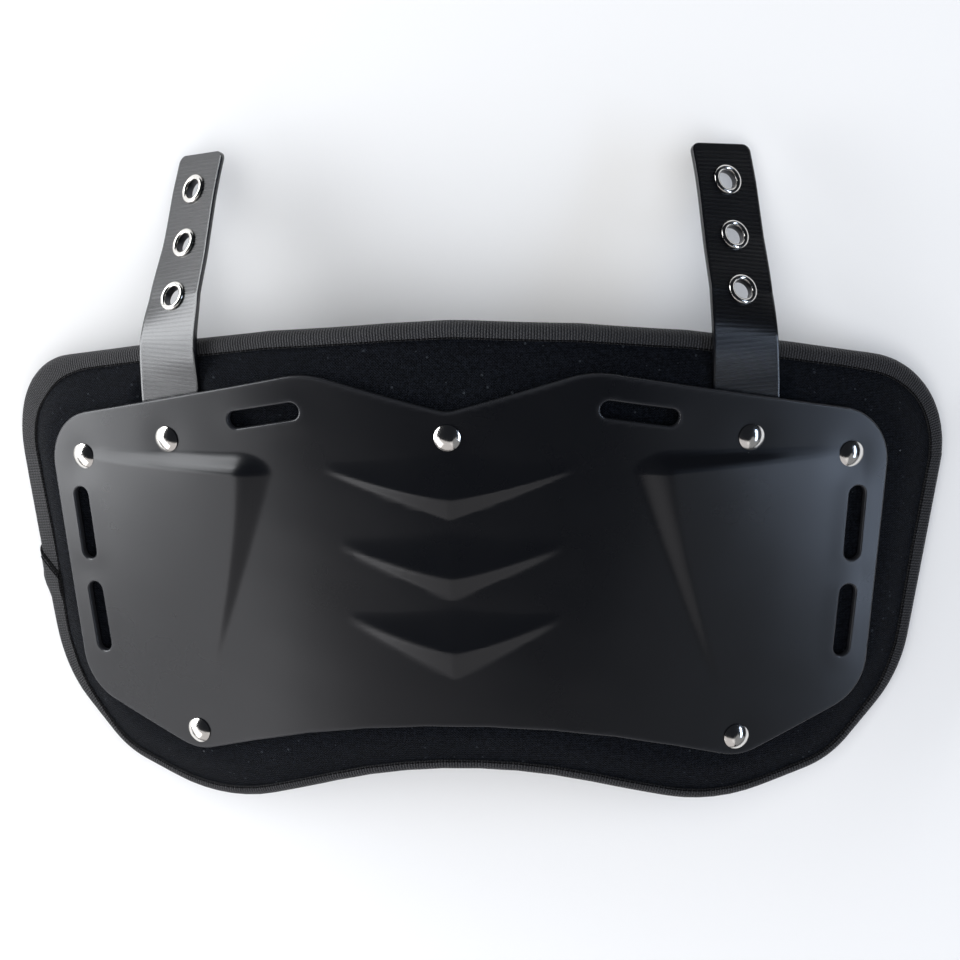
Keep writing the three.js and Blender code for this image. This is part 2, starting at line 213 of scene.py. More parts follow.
def finishPiece(piece, nodes, material):
    piece.data.materials.clear()
    piece.data.materials.append(material)
    if nodes:
        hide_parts(*nodes)
    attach(piece, "root")


def roundedChain(corners, arcStep=5.0):
    # each corner is s, y and the radius of its round
    points = [np.array(corners[0][:2], float)]
    for before, corner, after in zip(corners, corners[1:], corners[2:]):
        p = np.array(corner[:2], float)
        into = p - np.array(before[:2], float)
        out = np.array(after[:2], float) - p
        into, out = into / np.hypot(*into), out / np.hypot(*out)
        cross = into[0] * out[1] - into[1] * out[0]
        left = 1 if cross > 0 else -1
        turn = math.acos(max(-1, min(1, float(into @ out))))
        start = p - into * corner[2] * math.tan(turn / 2)
        centre = start + np.array((-into[1], into[0])) * left * corner[2]
        count = max(2, math.ceil(math.degrees(turn) / arcStep))
        first = start - centre
        for i in range(count + 1):
            a = left * turn * i / count
            c, d = math.cos(a), math.sin(a)
            points.append(centre + np.array((first[0] * c - first[1] * d, first[0] * d + first[1] * c)))
    points.append(np.array(corners[-1][:2], float))
    return points


def bothHalves(half):
    return [(-s, y, r) for s, y, r in reversed(half[1:])] + list(half)


def closedOutline(top, bottom):
    return np.array(roundedChain(bottom) + roundedChain(top)[::-1][1:-1])


def evenLoop(loop, step):
    # the same closed line with points at even steps
    closed = np.vstack([loop, loop[:1]])
    runs = np.hypot(*np.diff(closed, axis=0).T)
    places = np.concatenate([[0], np.cumsum(runs)])
    count = int(places[-1] / step)
    at = np.linspace(0, places[-1], count, endpoint=False)
    return np.stack([np.interp(at, places, closed[:, i]) for i in (0, 1)], -1), places[-1]


def distanceTo(points, loop):
    # shortest distance from flat points to a closed line, and whether they lie inside it
    a, b = loop, np.roll(loop, -1, axis=0)
    d = b - a
    best = np.full(len(points), np.inf)
    tiny = 1e-12
    inside = np.zeros(len(points), bool)
    for (ax, ay), (dx, dy), (_, by) in zip(a, d, b):
        t = ((points[:, 0] - ax) * dx + (points[:, 1] - ay) * dy) / max(dx * dx + dy * dy, tiny)
        t = np.clip(t, 0, 1)
        best = np.minimum(best, np.hypot(points[:, 0] - ax - t * dx, points[:, 1] - ay - t * dy))
        crosses = (ay > points[:, 1]) != (by > points[:, 1])
        height = dy if abs(dy) > tiny else tiny
        inside ^= crosses & (points[:, 0] < ax + (points[:, 1] - ay) * dx / height)
    return best, inside


sameHeight = 0.001  # points of a blank this close to a flat face belong to it, in mm


def flatSheet(name, loops, thick, edgeRound, edgeSteps):
    # a flat blank with rounded edges, lying in the pattern plane
    curve = bpy.data.curves.new(name, "CURVE")
    curve.dimensions = "2D"
    curve.fill_mode = "BOTH"
    curve.extrude = (thick / 2 - edgeRound) * mm
    curve.bevel_depth = edgeRound * mm
    curve.bevel_resolution = edgeSteps
    curve.offset = -edgeRound * mm
    for loop in loops:
        spline = curve.splines.new("POLY")
        spline.points.add(len(loop) - 1)
        for point, (s, y) in zip(spline.points, loop):
            point.co = (s * mm, y * mm, 0, 1)
        spline.use_cyclic_u = True
    sheet = bpy.data.objects.new(name, curve)
    bpy.context.scene.collection.objects.link(sheet)
    activate(sheet)
    bpy.ops.object.convert(target="MESH")
    sheet = bpy.context.object
    recalcNormals(sheet)
    return sheet


def cutLines(piece, axis, places, skipBack=False):
    # straight cuts through the blank, leaving out its flat back where asked
    cutter = bmesh.new()
    cutter.from_mesh(piece.data)
    normal = Vector((1, 0, 0)) if axis == 0 else Vector((0, 1, 0))
    onPlane = 1e-7
    backNormal = -0.99

    def halve(faces, places):
        # cuts in the middle of the places first, then each half by itself
        if not faces or not len(places):
            return
        middle = len(places) // 2
        edges = {e for f in faces for e in f.edges}
        geometry = faces + list(edges) + list({v for e in edges for v in e.verts})
        where = normal * places[middle] * mm
        cut = bmesh.ops.bisect_plane(cutter, geom=geometry, dist=onPlane, plane_co=where, plane_no=normal)
        faces = [g for g in cut["geom"] if isinstance(g, bmesh.types.BMFace)]
        sides = [f.calc_center_median()[axis] < where[axis] for f in faces]
        halve([f for f, low in zip(faces, sides) if low], places[:middle])
        halve([f for f, low in zip(faces, sides) if not low], places[middle + 1:])

    halve([f for f in cutter.faces if not skipBack or f.normal.z > backNormal], places)
    cutter.to_mesh(piece.data)
    cutter.free()


def splitRim(piece):
    # the flat face and its rounded rim are shaded apart, so uneven cells leave no waves along the rim
    frontNormal = 0.999
    blank = bmesh.new()
    blank.from_mesh(piece.data)
    for edge in blank.edges:
        edge.smooth = len({f.normal.z > frontNormal for f in edge.link_faces}) < 2
    blank.to_mesh(piece.data)
    blank.free()


def softMin(a, b, soft):
    share = np.clip(0.5 + 0.5 * (b - a) / soft, 0, 1)
    return b * (1 - share) + a * share - soft * share * (1 - share)


def ease(x):
    x = np.clip(x, 0, 1)
    return x * x * (3 - 2 * x)


# finishes: a socket wrapped so that sums on it add their Math nodes
class Wire:
    def __init__(self, tree, socket=None):
        self.tree, self.socket = tree, socket

    def node(self, kind, settings=None, sockets=None, out=None):
        made = self.tree.nodes.new("ShaderNode" + kind)
        for key, value in (settings or {}).items():
            setattr(made, key, value)
        for key, value in (sockets or {}).items():
            self.feed(made, key, value)
        outputs = [o for o in made.outputs if o.enabled and (out is None or o.name == out)]
        return Wire(self.tree, outputs[0]) if outputs else made

    def feed(self, made, key, value):
        if isinstance(key, int):
            socket = made.inputs[key]
        else:
            socket = next(i for i in made.inputs if i.name == key and i.enabled)
        if isinstance(value, Wire):
            self.tree.links.new(value.socket, socket)
        else:
            socket.default_value = value

    def math(self, operation, a, b=None):
        sockets = {0: a} if b is None else {0: a, 1: b}
        return self.node("Math", {"operation": operation}, sockets)

    def __add__(self, other):
        return self.math("ADD", self, other)

    def __radd__(self, other):
        return self.math("ADD", other, self)

    def __sub__(self, other):
        return self.math("SUBTRACT", self, other)

    def __rsub__(self, other):
        return self.math("SUBTRACT", other, self)

    def __mul__(self, other):
        return self.math("MULTIPLY", self, other)

    def __rmul__(self, other):
        return self.math("MULTIPLY", other, self)

    def __truediv__(self, other):
        return self.math("DIVIDE", self, other)

    def __rtruediv__(self, other):
        return self.math("DIVIDE", other, self)

    def __gt__(self, other):
        return self.math("GREATER_THAN", self, other)

    def __lt__(self, other):
        return self.math("LESS_THAN", self, other)

    def mix(self, low, high):
        # a colour between two, by this value
        return self.node("Mix", {"data_type": "RGBA"}, {"Factor": self, "A": low, "B": high})

    def noise(self, coords, scale, detail, roughness=0.5):
        sockets = {"Vector": coords, "Scale": scale, "Detail": detail, "Roughness": roughness}
        return self.node("TexNoise", {}, sockets, "Fac")

    def attribute(self, name):
        return self.node("Attribute", {"attribute_name": name}, {}, "Fac")

    def objectCoords(self):
        return self.node("TexCoord", {}, {}, "Object")

    def patternCoords(self):
        return self.node("UVMap", {"uv_map": "pattern"}, {}, "UV")

    def patternInMm(self):
        # both directions of the flat pattern, in mm
        sockets = {"Vector": self.patternCoords(), "Scale": 1 / mm}
        scaled = self.node("VectorMath", {"operation": "SCALE"}, sockets)
        return [self.node("SeparateXYZ", {}, {"Vector": scaled}, axis) for axis in ("X", "Y")]


def startFinish(name):
    material = bpy.data.materials.new(name)
    material.use_nodes = True
    shader = material.node_tree.nodes["Principled BSDF"]
    return material, shader, Wire(material.node_tree)


def bumpInto(wire, shader, height, distance):
    bump = wire.node("Bump", {}, {"Height": height, "Distance": distance})
    wire.feed(shader, "Normal", bump)


def setFixed(shader, values):
    for key, value in values.items():
        shader.inputs[key].default_value = value


def specks(wire, coords, scale, size, share):
    # scattered dots: only some of the cells hold one
    cells = {"Vector": coords, "Scale": scale, "Randomness": 1.0}
    spot = wire.node("TexVoronoi", {}, cells, "Distance")
    draw = wire.node("TexVoronoi", {}, cells, "Color")
    pick = wire.node("SeparateColor", {}, {"Color": draw}, "Red")
    width = wire.node("SeparateColor", {}, {"Color": draw}, "Green")
    return (spot < width * size) * (pick < share)


plateLook = {
    "dark": (0.0026, 0.0030, 0.0042, 1), "light": (0.0042, 0.0046, 0.0060, 1),
    "edge": (0.028, 0.029, 0.033, 1), "dust": (0.30, 0.30, 0.30, 1),
    "roughness": 0.25, "cloudRough": 0.06, "dustRough": 0.3, "sag": 4.0, "bump": 0.00006,
    "fixed": {"Specular IOR Level": 0.5},
}


def plateFinish():
    look = plateLook
    material, shader, wire = startFinish("blackPlastic")
    coords = wire.objectCoords()
    cloud = wire.noise(coords, 22.0, 4.0, 0.6)
    sag = wire.noise(coords, 30.0, 0.0)
    dust = specks(wire, coords, 120.0, 0.022, 0.10)
    tone = cloud.mix(look["dark"], look["light"])
    # the rims of the edge and slots are painted lighter: partly edge wear, partly a painted highlight along
    # the rounded rim
    edged = (wire.attribute("rim") * (0.35 + 0.65 * cloud)).mix(tone, look["edge"])
    wire.feed(shader, "Base Color", dust.mix(edged, look["dust"]))
    wire.feed(shader, "Roughness", look["roughness"] + look["cloudRough"] * cloud + look["dustRough"] * dust)
    setFixed(shader, look["fixed"])
    bumpInto(wire, shader, sag * look["sag"], look["bump"])
    return material


padLook = {
    "dark": (0.0012, 0.0017, 0.0030, 1), "light": (0.0066, 0.0082, 0.0122, 1),
    "lint": (0.026, 0.030, 0.036, 1), "worn": (0.09, 0.095, 0.105, 1),
    "wale": 1.3, "course": 1.1, "zigzag": 0.55,  # mm, mm, share of a course
    "roughness": 0.82, "fuzzRough": 0.15, "bump": 0.0004,
    "fixed": {"Specular IOR Level": 0.12, "Sheen Weight": 0.02, "Sheen Roughness": 0.4},
}


def padFinish():
    look = padLook
    material, shader, wire = startFinish("darkKnit")
    coords = wire.objectCoords()
    u, v = wire.patternInMm()
    zig = wire.math("ABSOLUTE", wire.math("FRACT", u / look["wale"]) - 0.5) * 2.0
    loops = wire.math("SINE", (v / look["course"] + zig * look["zigzag"]) * (2 * math.pi))
    wales = wire.math("ABSOLUTE", zig - 0.5)
    fuzz = wire.noise(coords, 2600.0, 3.0)
    mottle = wire.noise(coords, 750.0, 4.0, 0.7)
    cloud = wire.noise(coords, 16.0, 3.0)
    knit = loops * 0.4 - wales * 0.6 + fuzz * 0.9 + mottle * 1.6
    lint = specks(wire, coords, 420.0, 0.24, 0.26)
    worn = specks(wire, coords, 95.0, 0.05, 0.25)
    shade = 0.22 * loops + 0.4 * fuzz + 0.35 * cloud + 4.0 * (mottle - 0.5)
    dotted = lint.mix(shade.mix(look["dark"], look["light"]), look["lint"])
    wire.feed(shader, "Base Color", worn.mix(dotted, look["worn"]))
    wire.feed(shader, "Roughness", look["roughness"] + look["fuzzRough"] * fuzz)
    setFixed(shader, look["fixed"])
    bumpInto(wire, shader, knit, look["bump"])
    return material


tapeLook = {
    "dark": (0.0020, 0.0022, 0.0028, 1), "light": (0.045, 0.045, 0.049, 1),
    "rib": 1.2, "thread": 1.3,  # mm
    "roughness": 0.48, "fuzzRough": 0.2, "bump": 0.0004,
    "fixed": {"Specular IOR Level": 0.3, "Sheen Weight": 0.03},
}


def bindingFinish():
    look = tapeLook
    material, shader, wire = startFinish("wovenTape")
    coords = wire.objectCoords()
    along, over = wire.patternInMm()
    ribs = 0.5 + 0.5 * wire.math("SINE", along * (2 * math.pi / look["rib"]))
    shift = wire.math("FLOOR", along / look["rib"]) * math.pi  # threads lie half a step on at each rib
    threads = wire.math("SINE", over * (2 * math.pi / look["thread"]) + shift)
    fuzz = wire.noise(coords, 1300.0, 3.0)
    patch = wire.noise(coords, 60.0, 2.0)
    weave = ribs + threads * 0.25 + fuzz * 0.4
    # the gaps between the ribs are painted darker, as painted shade between them; threads, fuzz and patches
    # vary the tone
    lit = ribs * (0.75 + 0.3 * threads) * (0.55 + 0.9 * fuzz) * (0.6 + 0.8 * patch)
    wire.feed(shader, "Base Color", lit.mix(look["dark"], look["light"]))
    wire.feed(shader, "Roughness", look["roughness"] + look["fuzzRough"] * fuzz)
    setFixed(shader, look["fixed"])
    bumpInto(wire, shader, weave, look["bump"])
    return material


threadLook = {
    "dark": (0.0008, 0.0008, 0.001, 1), "light": (0.0035, 0.0035, 0.0042, 1),
    "roughness": 0.55, "twistRough": 0.2, "bump": 0.0001,
    "fixed": {"Specular IOR Level": 0.08},
}


def threadFinish():
    look = threadLook
    material, shader, wire = startFinish("blackThread")
    twist = wire.noise(wire.objectCoords(), 2500.0, 2.0)
    wire.feed(shader, "Base Color", twist.mix(look["dark"], look["light"]))
    wire.feed(shader, "Roughness", look["roughness"] + look["twistRough"] * twist)
    setFixed(shader, look["fixed"])
    bumpInto(wire, shader, twist, look["bump"])
    return material


strapLook = {
    "dark": (0.0022, 0.0024, 0.0032, 1), "light": (0.0040, 0.0042, 0.0052, 1),
    "valley": (0.0014, 0.0015, 0.0018, 1), "valleyShare": 0.6,
    "roughness": 0.19, "bandRough": 0.08, "grainRough": 0.04, "valleyRough": 0.06, "bump": 0.00006,
    "bandStretch": (60.0, 900.0, 1.0),
}


def strapFinish(name, shine):
    look = strapLook
    material, shader, wire = startFinish(name)
    coords = wire.objectCoords()
    cloud = wire.noise(coords, 40.0, 4.0)
    grain = wire.noise(coords, 1900.0, 2.0)
    stretch = wire.node("Mapping", {}, {"Vector": wire.patternCoords(), "Scale": look["bandStretch"]})
    band = wire.noise(stretch, 1.0, 3.0)
    valley = wire.attribute("valley")
    tone = cloud.mix(look["dark"], look["light"])
    rough = look["roughness"] + look["bandRough"] * band + look["grainRough"] * grain
    rough = rough + look["valleyRough"] * valley
    # the rib valleys are painted darker, as painted shade in the grooves
    wire.feed(shader, "Base Color", (valley * look["valleyShare"]).mix(tone, look["valley"]))
    wire.feed(shader, "Roughness", rough)
    setFixed(shader, {"Specular IOR Level": shine})
    bumpInto(wire, shader, grain * 0.15 + band * 0.35, look["bump"])
    return material


metalLook = {
    "dark": (0.74, 0.71, 0.66, 1), "light": (0.82, 0.80, 0.77, 1), "inside": (0.05, 0.05, 0.055, 1),
    "roughness": 0.07, "cloudRough": 0.10, "fineRough": 0.05, "insideRough": 0.2, "bump": 0.00002,
    "fixed": {"Metallic": 1.0},
}


def metalFinish():
    look = metalLook
    material, shader, wire = startFinish("polishedNickel")
    coords = wire.objectCoords()
    cloud = wire.noise(coords, 160.0, 3.0)
    fine = wire.noise(coords, 1500.0, 2.0)
    inside = wire.attribute("inside")
    tone = cloud.mix(look["dark"], look["light"])
    rough = look["roughness"] + look["cloudRough"] * cloud + look["fineRough"] * fine
    rough = rough + look["insideRough"] * inside
    # the bore's near-black colour is painted shade inside the eyelet hole
    wire.feed(shader, "Base Color", inside.mix(tone, look["inside"]))
    wire.feed(shader, "Roughness", rough)
    setFixed(shader, look["fixed"])
    bumpInto(wire, shader, fine, look["bump"])
    return material


finishes = {
    "plate": plateFinish(),
    "pad": padFinish(),
    "binding": bindingFinish(),
    "thread": threadFinish(),
    "strap_left": strapFinish("coatedWebbing", 1.0),
    # the right strap's copy reflects less, a shaded copy of the same webbing so that side reads darker
    "strap_right": strapFinish("shadedWebbing", 0.7),
    "metal": metalFinish(),
}
print("finishes ready")

# the moulded plate
plateForm = {
    "top": [(0, 9.8, 12), (58, 25.2, 40), (184.8, -2.1, 24), (181.5, -40, 0)],
    "bottom": [(0, -108.8, 320), (118.3, -143.4, 22), (174, -120.6, 24), (181.5, -40, 0)],
    "slots": [((64.3, 9.4), (89.3, 4.5)), ((169.5, -34.6), (167.6, -59)), ((166, -76.6), (163.6, -100.4))],
    "slotRadius": 3.6, "slotSteps": 13,
    "thick": 3.0, "edgeRound": 0.7, "edgeSteps": 2, "rimWearAndHighlight": 1.6,
    "cell": 1.5,
}
stepForm = {
    "places": [(51.5, -13.4, -24.8, -33.8), (46.5, -45.2, -57.8, -67.4),
               (44, -75.9, -89.5, -101.4)],  # reach, end, crest, foot
    "rise": 2.9, "ramp": 20, "endRamp": 3, "endDrop": 1.5, "bow": 1.3, "climb": 1.7, "soft": 0.22,
}
panelForm = {
    "rise": 4.7, "crestY": -17.6, "outerLift": -0.4, "ramp": 9.0, "outerRamp": 4.5, "bottomY": -114,
    "fade": 1.4, "straightFall": 0.6, "outer": 172,
    "foot": (74, 34.5, 1.0), "crest": (89, 22.5, 1.4),  # start, run, power
}
pullForm = {"dip": 0.28, "dipReach": 9, "curl": 0.12, "curlReach": 5, "ripple": 0.02}
rivetForm = {
    "head": 5.35, "brim": 0.25, "dome": 2.1, "domeSteps": 14, "seat": 0.05, "headEdge": 0.12,
    "shank": 1.7, "tail": 5.0, "tailThick": 1.0, "tailTop": -17.7, "tailEdge": 0.3,
    "spots": [("outer", 166.4, -17), ("strap", 122.8, -6), ("lower", 116.8, -133.9), ("centre", 0, 0)],
    "steps": 48,
}
plateOutline = closedOutline(bothHalves(plateForm["top"]), bothHalves(plateForm["bottom"]))


def slotLoop(start, end, side, radius):
    start, end = np.array((side * start[0], start[1])), np.array((side * end[0], end[1]))
    heading = math.atan2(*(end - start)[::-1])
    angles = np.linspace(-math.pi / 2, math.pi / 2, plateForm["slotSteps"])
    far = [end + radius * np.array((math.cos(heading + a), math.sin(heading + a))) for a in angles]
    near = [start - radius * np.array((math.cos(heading + a), math.sin(heading + a))) for a in angles]
    return np.array(far + near)


def stepRelief(s, y, reach, endY, crestY, footY):
    f = stepForm
    u = np.clip(np.abs(s) / reach, 0, 1)
    fade = 1 - u
    crest = endY + (crestY - endY) * (1 - u ** f["bow"])
    foot = endY - f["endDrop"] + (footY - endY + f["endDrop"]) * fade
    ramp = crest + f["endRamp"] + (f["ramp"] - f["endRamp"]) * fade
    high = f["rise"] * fade
    up = high * np.maximum((ramp - y) / (ramp - crest), 0) ** f["climb"]
    down = high * (y - foot) / (crest - foot)
    return np.maximum(softMin(up, down, f["soft"]), 0) * (fade > 0)


def panelRelief(s, y):
    f = panelForm
    a = np.abs(s)
    t = np.clip((f["crestY"] - y) / (f["crestY"] - f["bottomY"]), 0, 1)
    footS = f["foot"][0] + f["foot"][1] * t ** f["foot"][2]
    crestS = f["crest"][0] + f["crest"][1] * t ** f["crest"][2]
    outward = np.clip((a - crestS) / (f["outer"] - crestS), 0, 1)
    short = np.maximum((crestS - a) / (crestS - footS), 0)
    lift = f["outerLift"] * outward
    low = np.maximum((y - lift - f["crestY"]) / (f["ramp"] + (f["outerRamp"] - f["ramp"]) * outward), 0)
    fall = 1 - f["straightFall"] * outward - (1 - f["straightFall"]) * ease(outward)
    return f["rise"] * (1 - t) ** f["fade"] * ease(1 - np.hypot(short, low)) * fall


def pulled(s, y, slots):
    # the sheet dips at each rivet, curls up round each slot and has a faint ripple
    f = pullForm
    h = np.zeros_like(s)
    for _, spotS, spotY in rivetForm["spots"]:
        h -= f["dip"] * np.exp(-(np.hypot(np.abs(s) - spotS, y - spotY) / f["dipReach"]) ** 2)
    for loop in slots:
        h += f["curl"] * np.exp(-(distanceTo(np.stack([s, y], -1), loop)[0] / f["curlReach"]) ** 2)
    return h + f["ripple"] * np.sin(s / 7.3 + y / 11.0) * np.sin(y / 6.1 - s / 17.0)


def relief(s, y):
    steps = np.maximum.reduce([stepRelief(s, y, *place) for place in stepForm["places"]])
    return np.maximum(steps, panelRelief(s, y))


def buildPlate():
    f = plateForm
    slots = [slotLoop(a, b, side, f["slotRadius"]) for a, b in f["slots"] for side in (-1, 1)]
    plate = flatSheet("mouldedPlate", [plateOutline] + slots, f["thick"], f["edgeRound"], f["edgeSteps"])
    low, high = plateOutline.min(0), plateOutline.max(0)
    for axis in (0, 1):
        places = np.arange(math.ceil(low[axis] / f["cell"]), high[axis] / f["cell"]) * f["cell"]
        cutLines(plate, axis, places, skipBack=axis == 1)
    splitRim(plate)
    flat = getPoints(plate) / mm
    isFront = flat[:, 2] > f["thick"] / 2 - sameHeight
    h = flat[:, 2] - f["thick"] / 2 + np.where(isFront, relief(flat[:, 0], flat[:, 1]), 0)
    h = h + pulled(flat[:, 0], flat[:, 1], slots)
    edges = np.minimum.reduce([distanceTo(flat[:, :2], loop)[0] for loop in [plateOutline] + slots])
    # rim weights the lighter rim colour: edge wear and a painted rim highlight
    setAttribute(plate, "rim", np.clip(1 - edges / f["rimWearAndHighlight"], 0, 1))
    setPoints(plate, onArch(flat[:, 0], flat[:, 1], h))
    recalcNormals(plate)
    smoothShade(plate, 40)
    finishPiece(plate, ["plate"], finishes["plate"])
    return plate


plate = buildPlate()
print("plate:", len(plate.data.polygons), "faces")

# the foam pad in its knit cover
padForm = {
    "top": [(-211.2, -25, 0), (-218, 16.0, 39), (-77, 40.0, 900), (0, 43.9, 80), (77, 42.0, 740),
            (214.6, 13.0, 41), (213.4, -25, 0)],
    "bottom": [(-211.2, -25, 0), (-195.2, -118, 60), (-161.5, -152.2, 40), (-111.4, -168.6, 80),
               (0, -135.3, 200), (110, -166, 80), (162.6, -152.6, 40), (195.8, -118, 56), (213.4, -25, 0)],
    "front": -3.5, "edgeFront": -7.8, "edgeBack": -14.2, "back": -17.2,
    "edgeRound": 2.6, "edgeSteps": 2, "crownRun": 14.0,
    "sunk": 2.0, "sunkFrom": 6, "sunkRun": 8,  # under the plate
    # how far tape, plate and straps hold the cover
    "tapeGap": 0.6, "tapeRun": 6, "plateRun": 5, "strapGap": 2, "strapRun": 6, "backFree": 0.8,
    "cell": 4.15,
    "pressure": 4.0, "swellCap": 1.6, "clothFrames": 20, "clothQuality": 5,
}
tapeForm = {
    "width": 4.6, "thick": 0.9, "step": 2.5,
    "leftExtra": 7.0, "rightExtra": 2.0, "sideFrom": 165, "sideRun": 40,
    "slim": 0.35, "slimFrom": -60, "slimRun": 40,  # the extra at the sides gets less further down
    "topExtra": 0.9, "topFrom": 5, "topRun": 20, "lowExtra": -1.0, "lowFrom": -112, "lowRun": 20,
    "middle": -11.0, "half": 4.45, "bend": 2.2, "bendSteps": 13, "reach": 3.45,
    "groove": 0.4, "grooveHalf": 0.3, "lip": 0.15, "lipDrop": 0.3, "backLift": 0.1,
}
lapForm = {
    "at": (-204.5, -66.0), "length": 26.0, "skew": 12.5, "startSteps": 4, "topSteps": 4.5,
    "lift": 1.1, "liftRun": 0.6, "sink": 0.25, "bulge": 2.2, "bulgeAt": 0.46, "bulgeRun": 0.15,
}
stitchForm = {
    "inset": 0.5, "length": 1.8, "pitch": 2.2, "radius": 0.4, "flat": 0.8, "sink": 0.4,
    "skewShare": 0.88, "cutInset": 1.3, "cutPitch": 0.6, "cutBelow": -0.5, "cutAbove": 1.7, "cutShare": 0.93,
}
strapSeat = {"s": 122.0, "half": 14.6, "endY": -17.0, "level": -6.1, "wall": 5.0, "wallRun": 6.0}
padOutline = closedOutline(padForm["top"], padForm["bottom"])


def tapeWidth(s, y):
    # the tape shows more of itself at the sides and the top, where the edge was turned further
    f = tapeForm
    side = np.where(s < 0, f["leftExtra"], f["rightExtra"]) * ease((np.abs(s) - f["sideFrom"]) / f["sideRun"])
    side = side * (1 - f["slim"] * ease((f["slimFrom"] - y) / f["slimRun"]))
    top = f["topExtra"] * ease((y - f["topFrom"]) / f["topRun"])
    return f["width"] + side + top + f["lowExtra"] * ease((f["lowFrom"] - y) / f["lowRun"])


def padHeights(flat, isFront, isBack, pastTape, underPlate):
    f = padForm
    rise = np.sin(np.clip(pastTape / f["crownRun"], 0, 1) * math.pi / 2)
    front = f["edgeFront"] + (f["front"] - f["edgeFront"]) * rise
    front = front - f["sunk"] * ease((underPlate - f["sunkFrom"]) / f["sunkRun"])
    back = f["edgeBack"] + (f["back"] - f["edgeBack"]) * rise
    beside = np.abs(np.abs(flat[:, 0]) - strapSeat["s"]) - strapSeat["half"]
    away = np.maximum(beside, strapSeat["endY"] - flat[:, 1])
    front = np.minimum(front, strapSeat["level"] + strapSeat["wall"] * ease(away / strapSeat["wallRun"]))
    middle = (f["edgeFront"] + f["edgeBack"]) / 2
    h = middle + flat[:, 2]
    return np.where(isFront, front, np.where(isBack, back, h)), away


def swell(pad, held, cap):
    # a short cloth run that lets the cover stand proud between what presses on it
    rest = getPoints(pad)
    group = pad.vertex_groups.new(name="held")
    for i, weight in enumerate(held):
        group.add([i], float(weight), "REPLACE")
    activate(pad)
    cloth = pad.modifiers.new("swell", "CLOTH")
    cloth.settings.vertex_group_mass = "held"
    cloth.settings.use_pressure = True
    cloth.settings.uniform_pressure_force = padForm["pressure"]
    cloth.settings.quality = padForm["clothQuality"]
    cloth.settings.effector_weights.gravity = 0
    cloth.point_cache.frame_start, cloth.point_cache.frame_end = 1, padForm["clothFrames"]
    scene = bpy.context.scene
    for number in range(1, padForm["clothFrames"] + 1):
        scene.frame_set(number)
    bpy.ops.object.modifier_apply(modifier="swell")
    pad.vertex_groups.clear()
    scene.frame_set(1)
    move = getPoints(pad) - rest
    length = np.linalg.norm(move, axis=1, keepdims=True)
    move = move * (np.minimum(length, cap * mm) / np.maximum(length, 1e-9)) * (1 - np.asarray(held)[:, None])
    setPoints(pad, rest + move)


def buildPad():
    f = padForm
    edgeThick = f["edgeFront"] - f["edgeBack"]
    pad = flatSheet("foamPad", [padOutline], edgeThick, f["edgeRound"], f["edgeSteps"])
    low, high = padOutline.min(0), padOutline.max(0)
    for axis in (0, 1):
        cutLines(pad, axis, np.arange(math.ceil(low[axis] / f["cell"]), high[axis] / f["cell"]) * f["cell"])
    flat = getPoints(pad) / mm
    isFront = flat[:, 2] > edgeThick / 2 - sameHeight
    isBack = flat[:, 2] < -edgeThick / 2 + sameHeight
    toEdge, _ = distanceTo(flat[:, :2], padOutline)
    toPlate, under = distanceTo(flat[:, :2], plateOutline)
    pastTape = toEdge - tapeWidth(flat[:, 0], flat[:, 1]) - f["tapeGap"]
    h, besideStrap = padHeights(flat, isFront, isBack, pastTape, np.where(under, toPlate, 0))
    besidePlate = np.where(under, 0, ease(toPlate / f["plateRun"]))
    frontFree = besidePlate * ease((besideStrap - f["strapGap"]) / f["strapRun"])
    free = ease(pastTape / f["tapeRun"]) * np.where(isFront, frontFree, f["backFree"])
    setPattern(pad, flat[:, :2] * mm)
    setPoints(pad, onArch(flat[:, 0], flat[:, 1], h))
    swell(pad, 1 - free, f["swellCap"])
    fine = pad.modifiers.new("fine", "SUBSURF")
    fine.levels = fine.render_levels = 1
    activate(pad)
    bpy.ops.object.modifier_apply(modifier="fine")
    smoothShade(pad, 60)
    finishPiece(pad, ["pad"], finishes["pad"])
    return pad


pad = buildPad()
print("pad:", len(pad.data.polygons), "faces")


# the woven tape round the pad's edge, lofted ring by ring
def inwardOf(loop):
    along = np.roll(loop, -1, axis=0) - np.roll(loop, 1, axis=0)
    along /= np.hypot(*along.T)[:, None]
    return np.stack([-along[:, 1], along[:, 0]], -1)


tapeLoop, tapeLength = evenLoop(padOutline, tapeForm["step"])
tapeStart = np.hypot(*(tapeLoop - np.array(lapForm["at"])).T).argmin() + lapForm["startSteps"]
tapeLoop = np.roll(tapeLoop, -tapeStart, axis=0)  # starts under the lap
tapeInward = inwardOf(tapeLoop)
lapTop = -lapForm["topSteps"] * tapeLength / len(tapeLoop)


def loopAt(places):
    # points and inward directions at distances round the tape
    at = np.asarray(places, float) / tapeLength * len(tapeLoop)
    low = np.floor(at).astype(int)
    share = (at - low)[:, None]
    here, ahead = low % len(tapeLoop), (low + 1) % len(tapeLoop)
    return [rows[here] * (1 - share) + rows[ahead] * share for rows in (tapeLoop, tapeInward)]


def lapLift(share):
    # share is 0 where the lap begins and 1 at its cut end
    f = lapForm
    return f["lift"] * ((1 + f["sink"]) * ease(share / f["liftRun"]) - f["sink"])


